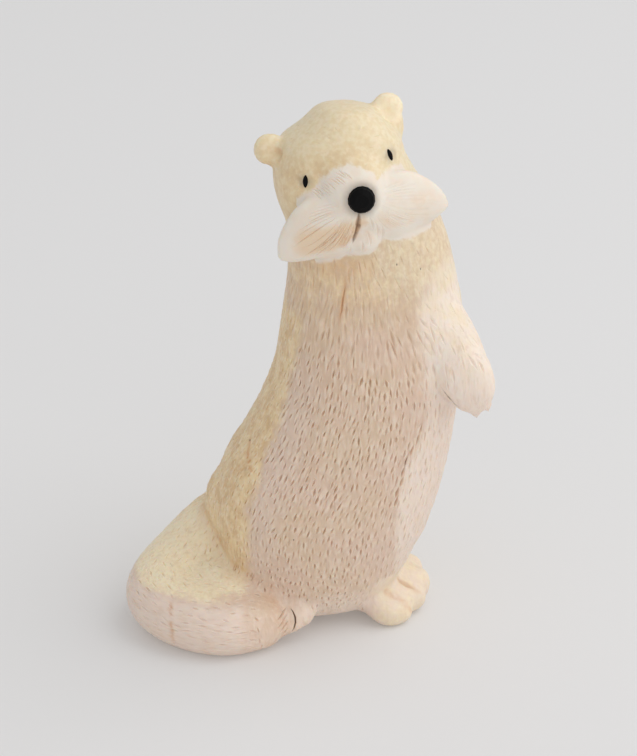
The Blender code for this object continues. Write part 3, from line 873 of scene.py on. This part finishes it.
def body_cuts(skin, rng):
    """The strokes that stand out of the fur: the chest's marks, the belly's ridge, the fringe, the paw's edge
    and toes, and a crease of the far flipper."""
    forward = np.array([0.0, -1.0, 0.1])
    yield Stroke([skin.nearest(p) for p in CHEST_MARK], forward, 0.42, 0.2, rim=0.04, peak=0.7)
    yield Stroke([skin.on_front(LOWER_MARK_X, z) for z in LOWER_MARK_HEIGHTS], forward, 0.4, 0.22)
    for height in np.arange(BELLY_RIDGE[0, 2] + 1.0, BELLY_RIDGE[-1, 2], -1.45):
        x = ridge_x(height) + rng.normal(0, 0.15)
        path = [skin.on_front(x + 0.28 * rise, height + rise) for rise in (0.8, 0.4, -0.1, -0.5, -0.8)]
        yield Stroke(path, (0.4, -1.0, 0.0), 0.62, 0.26, rim=0.12)
    for place in np.linspace(0, len(TAIL_CREASE) - 1, 30):
        start = np.array([np.interp(place, range(len(TAIL_CREASE)), column) for column in TAIL_CREASE.T])
        start += (0.5, 0.2, 0.9) + rng.normal(0, 0.35, 3)
        end = start + np.array([-0.4, -0.3, -1.0]) * rng.uniform(0.5, 1.2) + rng.normal(0, 0.12, 3)
        path = [skin.nearest(start + (end - start) * t) for t in np.linspace(0, 1, 4)]
        yield Stroke(path, skin.facing_at(path[1]), 0.45, 0.12, rim=0.05, peak=0.6)
    # The paw's edge: a cut darkened as painted shadow under the paw.
    yield Stroke([skin.nearest(p) for p in PAW_EDGE], (-0.45, -0.8, -0.3), 0.36, 0.2, ink_and_shade=0.45)
    for x in (19.8, 20.7, 21.6):
        path = [skin.on_front(x + 0.1 * k, 36.8 - 0.9 * k) for k in range(4)]
        yield Stroke(path, forward, 0.36, 0.06)
    path = [skin.nearest(p) for p in FLIPPER_CREASES[0]]
    yield Stroke(path, skin.facing_at(path[1]), 1.5, 0.3, peak=0.6)


def carved_skin():
    skin = Skin(*smooth_skin())
    rng = np.random.default_rng(RANDOM_SEED)
    for kind in (inked_cuts, pad_grooves, muzzle_hair, body_cuts, fur_strokes):
        done = [skin.cut(stroke) for stroke in kind(skin, rng)]
        print(kind.__name__, sum(done), "of", len(done))
    return skin


# The colours that the ivory's places have

# Brown stains and marks of the ivory, and painted shade in the creases and where the tail's end meets the
# near foot.
STAINS_AND_SHADE = [
    # (path, radius, strength)
    # Brown in the crease over the tail, and painted shade of its fold.
    (TAIL_CREASE[:4], 2.4, 0.28),
    (TAIL_CREASE, 0.7, 0.18),
    # Painted shade in the crease where the tail's end merges into the near foot.
    ([(-4.9, -9.6, 8.2), (-4.2, -10.4, 6.2)], 1.6, 0.3),
    ([(-17.6, -11.6, 7.2), (-17.5, -13.2, 4.2), (-17.3, -12.8, 2.0)], 0.55, 0.45),
    ([(-15.1, -12.1, 7.4), (-15.1, -12.2, 7.1)], 0.5, 0.6),
    ([(5.0, -8.5, 51.6), (4.3, -8.7, 46.4)], 0.7, 0.42),
    ([(-3.4, -1.8, 66.1), (-3.1, -2.4, 65.8)], 0.8, 0.42),
    ([(4.9, -9.9, 57.4), (4.5, -9.8, 56.7)], 1.1, 0.34),
    ([(-7.3, -4.2, 27.3), (-7.5, -5.6, 25.8), (-7.1, -7.2, 24.5)], 0.6, 0.55),
    ([(2.0, -8.0, 52.6), (7.6, -8.4, 53.4)], 2.2, 0.3),
    # Painted shade along the far flipper's creases.
    (FLIPPER_CREASES[0], 0.9, 0.3),
    (FLIPPER_CREASES[1], 0.9, 0.36),
    # Brown round the inked mouth, and painted shade under the nose.
    (face_places([(-0.9, -4.2), (-1.5, -5.8), (-2.0, -6.8)]), 0.8, 0.4),
    (face_places([(-0.6, -5.6), (-1.4, -8.4)]), 2.2, 0.24),
    # Painted shade between the tail's end and the near foot.
    (TAIL_END_AT + [(-1.0, 0.0, 0.8), (0.8, 0.3, -0.6)], 2.2, 0.34),
]


def colour_fields(points):
    """What the ivory's colours follow: signed distances in mm and shares."""
    head = in_head(points)
    x, y, height = points.T
    angle = round_torso(points)
    front = np.interp(np.abs(head[:, 0]), (5.0, 6.5, 8.2, 9.4), (-2.6, -4.6, -5.2, -4.2))
    before = ramp(front, front - 0.6, head[:, 1])
    pads = pad_inside(head)
    muzzle = np.maximum(pads, muzzle_inside(head))
    muzzle = np.minimum(muzzle, (before - 0.5) * 6)
    peach = ramp(1.2, 2.6, pads) * ramp(-3.0, -5.5, head[:, 2]) * before
    peach *= np.where(head[:, 0] < 0, 1.0, 0.4) * ramp(10.5, 7.5, np.abs(head[:, 0]))
    behind = ramp(0.0, 5.0, y)
    on_head = ramp(-10.0 - 6.0 * behind, -7.5 + 3.0 * behind, head[:, 2]) * ramp(50, 54, height)
    low_tail = ramp(8.9, 6.6, height) * ramp(-7.0, -9.0, x) * ramp(8.0, 2.0, y)
    flipper = ramp(8.0, 9.5, x) * ramp(9.0, 7.0, height)
    neck = ramp(42, 52, height) * 0.55
    right_side = ramp(0.5, 1.1, angle) * ramp(36, 44, height) * 0.35
    tail_top = ramp(6.8, 8.4, height) * ramp(-6.2, -8.8, x)
    back = ramp(0.0, 3.0, y) * 0.8
    yellow = np.maximum.reduce([on_head, neck, right_side, tail_top, back])
    yellow *= (1 - low_tail) * (1 - flipper)
    yellow += 0.5 * flipper
    flank = flank_inside(points)
    enamel = ramp(-6.5, -2.0, flank) * ramp(40, 32, height)
    flank = np.clip(flank, -3, 3)
    flank = np.minimum(flank, (0.5 - np.maximum(low_tail, flipper)) * 3)
    flank = np.minimum(flank, 3 - 4 * ramp(38, 50, height) * ramp(2.5, 0.5, y))
    from_middle = angle + 0.5 * ramp(44, 54, height)
    rightward = ramp(0.2, 0.9, from_middle) * ramp(3.0, 2.0, angle)
    cream = rightward * ramp(22, 36, height)
    crown = np.maximum(ramp(-2.0, 6.0, head[:, 0]), 0.9 * ramp(2.0, 5.0, head[:, 2]))
    right_ear = near(head, EARS_AT, 1.8, 3.2)
    cream = cream * (1 - on_head) + on_head * (0.4 + 0.6 * crown)
    cream = np.maximum(cream, flipper) * (1 - right_ear)
    pale = ramp(-0.8, 1.6, x - ridge_x(height)) * ramp(38, 30, height) * ramp(6.0, 0.0, y)
    # Paler under the lower belly: painted bounce light from the floor, lifting the shade there.
    underside = 0.65 * ramp(10.0, 4.0, height) * ramp(7.0, 1.0, y)
    pale = np.maximum.reduce([pale, low_tail, flipper, underside])
    # Less pale along the tail's low end by the near foot: painted shade there.
    pale *= 1 - 0.75 * ramp(5.5, 1.5, from_path(points, TAIL_LINE[-2:]))
    arm = ramp(9.0, 4.0, from_path(points, ARM_LINE)) * ramp(9.5, 16.5, x) * 0.9
    pale = np.maximum.reduce([pale, arm, near(points, FAR_SHOULDER_AT, 2.0, 4.5)])
    crease = np.interp(x, TAIL_CREASE[:, 0], TAIL_CREASE[:, 2])
    on_tail = ramp(0.9, -0.3, height - crease) * ramp(-4.0, -7.0, x) * ramp(9.0, 2.0, y)
    # Painted shade round the nose and the eyes.
    inlay_shade = ramp(2.7, 1.7, apart_on_face(head, NOSE_AT)) * before
    for eye in EYES_AT:
        inlay_shade = np.maximum(inlay_shade, ramp(1.3, 0.3, apart_on_face(head, eye)) * before)
    # Brown stains, and painted shade in creases and hollows.
    stain_and_shade = np.zeros(len(points))
    for path, radius, strength in STAINS_AND_SHADE:
        stain_and_shade = np.maximum(stain_and_shade, strength * ramp(radius, 0.2 * radius, from_path(points, path)))
    return {
        "muzzle": muzzle,
        "flank": flank,
        "yellow": yellow,
        "cream": cream,
        "pale": pale,
        "peach": peach,
        "inlay_shade": inlay_shade,
        "stain_and_shade": stain_and_shade,
        "furry": (1 - 0.9 * on_head) * (1 - 0.5 * flipper) * ramp(0.0, -0.5, muzzle),
        "along_tail": np.maximum(low_tail, ramp(8.6, 7.4, height) * ramp(-7.0, -9.0, x)),
        "bright": np.maximum(0.9 * on_tail, right_ear),
        "enamel": enamel,
    }


def ivory_mesh(skin):
    """The carved skin as a mesh, with what its colours follow on its points."""
    faces = skin.woven()
    pushed = skin.base - skin.normals * skin.base_depths[:, None]
    places = np.vstack([pushed, skin.new_points])
    places[:, 2] = np.maximum(places[:, 2], 0.0)
    depths = np.concatenate([skin.base_depths, skin.new_depths])
    ink_and_shade_shares = np.concatenate([skin.base_ink_and_shade, skin.new_ink_and_shade])
    mesh = bpy.data.meshes.new("ivory_otter")
    mesh.from_pydata((places * UNIT).tolist(), [], faces)
    mesh.update()
    fields = {"recess": depths / FULL_RECESS, "ink_and_shade": ink_and_shade_shares * (depths > INK_AND_SHADE_DEPTH), **colour_fields(places)}
    for name, values in fields.items():
        layer = mesh.attributes.new(name, "FLOAT", "POINT")
        layer.data.foreach_set("value", values.astype(np.float32))
    mesh.shade_smooth()
    mesh.set_sharp_from_angle(angle=SHARP_ANGLE)
    print("triangles", len(mesh.polygons))
    return mesh


# The materials


def srgb(*channels):
    """A colour given as 0..255 sRGB, as the linear colour that the shaders take."""
    shares = [v / 255 for v in channels]
    return (*[v / 12.92 if v <= 0.04045 else ((v + 0.055) / 1.055) ** 2.4 for v in shares], 1.0)


class Nodes:
    """A material's nodes, in few words. What a method returns is a socket to plug in elsewhere."""

    def __init__(self, name):
        self.material = bpy.data.materials.new(name)
        self.material.use_nodes = True
        self.tree = self.material.node_tree
        self.shader = self.tree.nodes["Principled BSDF"]

    def node(self, kind, settings=None, **values):
        made = self.tree.nodes.new(kind)
        for name, value in (settings or {}).items():
            setattr(made, name, value)
        self.plug_all(made, values)
        return made

    def plug_all(self, node, values):
        for name, value in values.items():
            self.plug(node, name.replace("_", " "), value)

    def plug(self, node, name, value):
        socket = node.inputs[name]
        if isinstance(value, bpy.types.NodeSocket):
            self.tree.links.new(value, socket)
        else:
            socket.default_value = value

    def math(self, operation, a, b):
        made = self.node("ShaderNodeMath", {"operation": operation})
        self.plug(made, 0, a)
        self.plug(made, 1, b)
        return made.outputs[0]

    def times(self, a, b):
        return self.math("MULTIPLY", a, b)

    def __getitem__(self, name):
        """The field of the mesh's points with a name."""
        return self.node("ShaderNodeAttribute", {"attribute_name": name}).outputs["Fac"]

    def step(self, value, low, high, to_high=1.0, to_low=0.0):
        settings = {"interpolation_type": "SMOOTHSTEP"}
        ends = {"From_Min": low, "From_Max": high, "To_Min": to_low, "To_Max": to_high}
        return self.node("ShaderNodeMapRange", settings, Value=value, **ends).outputs["Result"]

    def noise(self, size, detail=2.0, squeeze=(1, 1, 1)):
        """Noise in patches of a size in mm, squeezed along each axis."""
        where = self.node("ShaderNodeTexCoord").outputs["Object"]
        mapped = self.node("ShaderNodeMapping", None, Vector=where, Scale=squeeze).outputs[0]
        made = self.node("ShaderNodeTexNoise", None, Vector=mapped, Scale=1 / (size * UNIT), Detail=detail)
        return made.outputs["Fac"]

    def moved(self, value, noise, amount):
        """A value shifted up and down by noise."""
        shift = self.times(self.math("SUBTRACT", noise, 0.5), amount)
        return self.math("ADD", value, shift)

    def mix(self, share, a, b):
        made = self.node("ShaderNodeMix", {"data_type": "RGBA"})
        self.plug(made, 0, share)
        self.plug(made, 6, a)
        self.plug(made, 7, b)
        return made.outputs[2]

    def bump(self, height, strength, distance):
        made = self.node("ShaderNodeBump", None, Strength=strength, Distance=distance * UNIT, Height=height)
        self.plug(self.shader, "Normal", made.outputs[0])

    def finish(self, **values):
        """Values that are uniform all over go on the shader's own sockets."""
        self.plug_all(self.shader, values)
        return self.material


def fur_grain(n):
    """Fine streaks that lie down the body and along the tail."""
    down = n.noise(0.5, 2.0, squeeze=(1, 1, 0.28))
    along = n.noise(0.5, 2.0, squeeze=(0.28, 0.28, 1))
    share = n["along_tail"]
    rest = n.math("SUBTRACT", 1.0, share)
    return n.math("ADD", n.times(along, share), n.times(down, rest))


def body_colour(n, fine, mottle, grain):
    """The ivory of the body: beige belly, white enamel side, golden flank, cream right side."""
    broad = n.noise(9.0)
    beige = n.mix(n.step(broad, 0.35, 0.65), srgb(221, 194, 172), srgb(218, 192, 164))
    beige = n.mix(n.step(mottle, 0.5, 0.75, 0.4), beige, srgb(228, 200, 184))
    pale = n.mix(n.step(mottle, 0.4, 0.7), srgb(245, 230, 217), srgb(244, 226, 208))
    colour = n.mix(n.step(n.moved(n["pale"], mottle, 0.6), 0.2, 0.9), beige, pale)
    colour = n.mix(n.times(n["enamel"], 0.6), colour, srgb(226, 204, 189))
    gold = n.mix(n.step(mottle, 0.38, 0.62), srgb(222, 190, 144), srgb(236, 211, 168))
    gold = n.mix(n.step(fine, 0.5, 0.7, 0.5), gold, srgb(244, 228, 196))
    gold = n.mix(n.step(fine, 0.45, 0.3, 0.3), gold, srgb(212, 178, 132))
    bright = n.times(n["bright"], n.step(fine, 0.35, 0.6, 1.0, 0.8))
    gold = n.mix(bright, gold, srgb(248, 234, 204))
    cream = n.mix(n.step(fine, 0.35, 0.65), srgb(232, 214, 176), srgb(238, 223, 192))
    gold = n.mix(n["cream"], gold, cream)
    flank = n.step(n.moved(n.moved(n["flank"], mottle, 2.2), fine, 1.4), -0.7, 0.9)
    yellow = n.step(n.moved(n.moved(n["yellow"], mottle, 0.8), fine, 0.8), 0.05, 0.95)
    colour = n.mix(n.math("MAXIMUM", flank, yellow), colour, gold)
    # Painted highlight on the fur's ridges and painted shade between them, along the grain that the bump
    # raises.
    streaks = n.times(n["furry"], n.step(grain, 0.5, 0.7, 0.28))
    colour = n.mix(streaks, colour, srgb(244, 228, 212))
    shades = n.times(n["furry"], n.step(grain, 0.48, 0.32, 0.16))
    colour = n.mix(shades, colour, srgb(196, 160, 128))
    # Browner and darker with a cut's depth: painted shade in the cuts.
    colour = n.mix(n.step(n["recess"], 0.0, 0.55, 0.34), colour, srgb(180, 138, 100))
    # Lighter on the strokes' raised rims: painted highlight.
    return n.mix(n.step(n["recess"], 0.0, -0.25, 0.4), colour, srgb(246, 230, 212))


def muzzle_colour(n, mottle):
    """The white muzzle, with peach between the grooves of its pads and painted shade in its grooves."""
    white = n.mix(n.step(mottle, 0.4, 0.7), srgb(238, 229, 216), srgb(238, 224, 208))
    peach = n.step(n.moved(n["peach"], mottle, 0.5), 0.1, 1.0)
    white = n.mix(n.times(peach, 0.75), white, srgb(234, 206, 172))
    # Tan that grows with a groove's depth and in the left pad's peach: painted shade in the muzzle's grooves.
    groove_shade = n.math("ADD", n.times(peach, 0.35), 0.25)
    groove_shade = n.times(groove_shade, n.step(n["recess"], 0.0, 0.4))
    return n.mix(groove_shade, white, srgb(214, 172, 134))


def ivory_material():
    n = Nodes("carved ivory")
    fine = n.noise(0.6, 3.0)
    mottle = n.noise(2.2, 3.0)
    grain = fur_grain(n)
    muzzle = n.step(n.moved(n["muzzle"], fine, 0.8), -0.25, 0.3)
    colour = n.mix(muzzle, body_colour(n, fine, mottle, grain), muzzle_colour(n, mottle))
    # Brown stains, and painted shade in the creases and where the tail's end meets the near foot.
    stain_and_shade = n.step(n.moved(n["stain_and_shade"], fine, 0.3), 0.05, 0.9)
    colour = n.mix(stain_and_shade, colour, srgb(208, 152, 100))
    # Painted shade round the nose and the eyes.
    colour = n.mix(n.times(n["inlay_shade"], 0.42), colour, srgb(120, 98, 78))
    # Ink in the mouth, the slit, the toes and the pores, and painted shadow along the paw's edge.
    colour = n.mix(n["ink_and_shade"], colour, srgb(84, 54, 32))
    n.bump(grain, n.times(n["furry"], 0.8), 0.17)
    return n.finish(
        Base_Color=colour,
        Roughness=n.step(fine, 0.3, 0.7, 0.52, 0.42),
        IOR=1.5,
        Subsurface_Weight=0.3,
        Subsurface_Radius=(1.0, 0.6, 0.35),
        Subsurface_Scale=0.0012,
    )


def inlay_material():
    n = Nodes("black inlay")
    grain = n.noise(0.25)
    n.bump(grain, 0.3, 0.05)
    return n.finish(
        Base_Color=n.mix(grain, srgb(2, 2, 2), srgb(7, 6, 6)),
        Roughness=0.6,
        Specular_IOR_Level=0.12,
    )


def floor_material():
    n = Nodes("paper floor")
    return n.finish(
        Base_Color=srgb(211, 211, 212),
        Roughness=0.85,
        Emission_Color=srgb(255, 251, 246),
        Emission_Strength=FLOOR_GLOW,
    )


# The stage


def stage():
    floor = bpy.data.meshes.new("floor")
    half = FLOOR_SIZE / 2
    corners = [(-half, -half, 0), (half, -half, 0), (half, half, 0), (-half, half, 0)]
    floor.from_pydata(corners, [], [(0, 1, 2, 3)])
    floor.materials.append(floor_material())
    ground = placed("floor", floor)
    ground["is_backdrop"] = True
    for way, distance, size, power in (KEY_LAMP, FRONT_LAMP):
        lamp = bpy.data.lights.new("lamp", "AREA")
        lamp.shape = "DISK"
        lamp.size = size
        lamp.energy = power
        hung = placed("lamp", lamp)
        hung.location = way.normalized() * distance
        hung.rotation_euler = way.to_track_quat("Z", "Y").to_euler()
    room = bpy.data.worlds.new("room")
    room.use_nodes = True
    even = room.node_tree.nodes["Background"].inputs
    even["Color"].default_value = (1.0, 1.0, 1.0, 1.0)
    even["Strength"].default_value = ROOM_LIGHT
    bpy.context.scene.world = room
    bpy.context.scene.view_settings.view_transform = "Standard"


def camera():
    lens = bpy.data.cameras.new("camera")
    lens.sensor_width = SENSOR
    lens.lens = SENSOR * FOCAL_PIXELS / max(PHOTO_SIZE)
    seen = placed("camera", lens)
    lift = math.radians(CAMERA_ELEVATION)
    back = Vector((0, -math.cos(lift), math.sin(lift)))
    seen.location = (CAMERA_TARGET + back * CAMERA_DISTANCE) * UNIT
    seen.rotation_euler = (math.pi / 2 - lift, 0, 0)
    bpy.context.scene.camera = seen


def main():
    mesh = ivory_mesh(carved_skin())
    mesh.materials.append(ivory_material())
    piece = placed("ivory_otter", mesh)
    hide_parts("otter")
    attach(piece, "root")
    black = inlay_material()
    for name in INLAYS:
        NODES[name].data.materials.clear()
        NODES[name].data.materials.append(black)
    stage()
    camera()
    boxes = {"cad": CAD_BOX, "visual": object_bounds()}
    {name: [list(corner) for corner in box] for name, box in boxes.items()}


main()
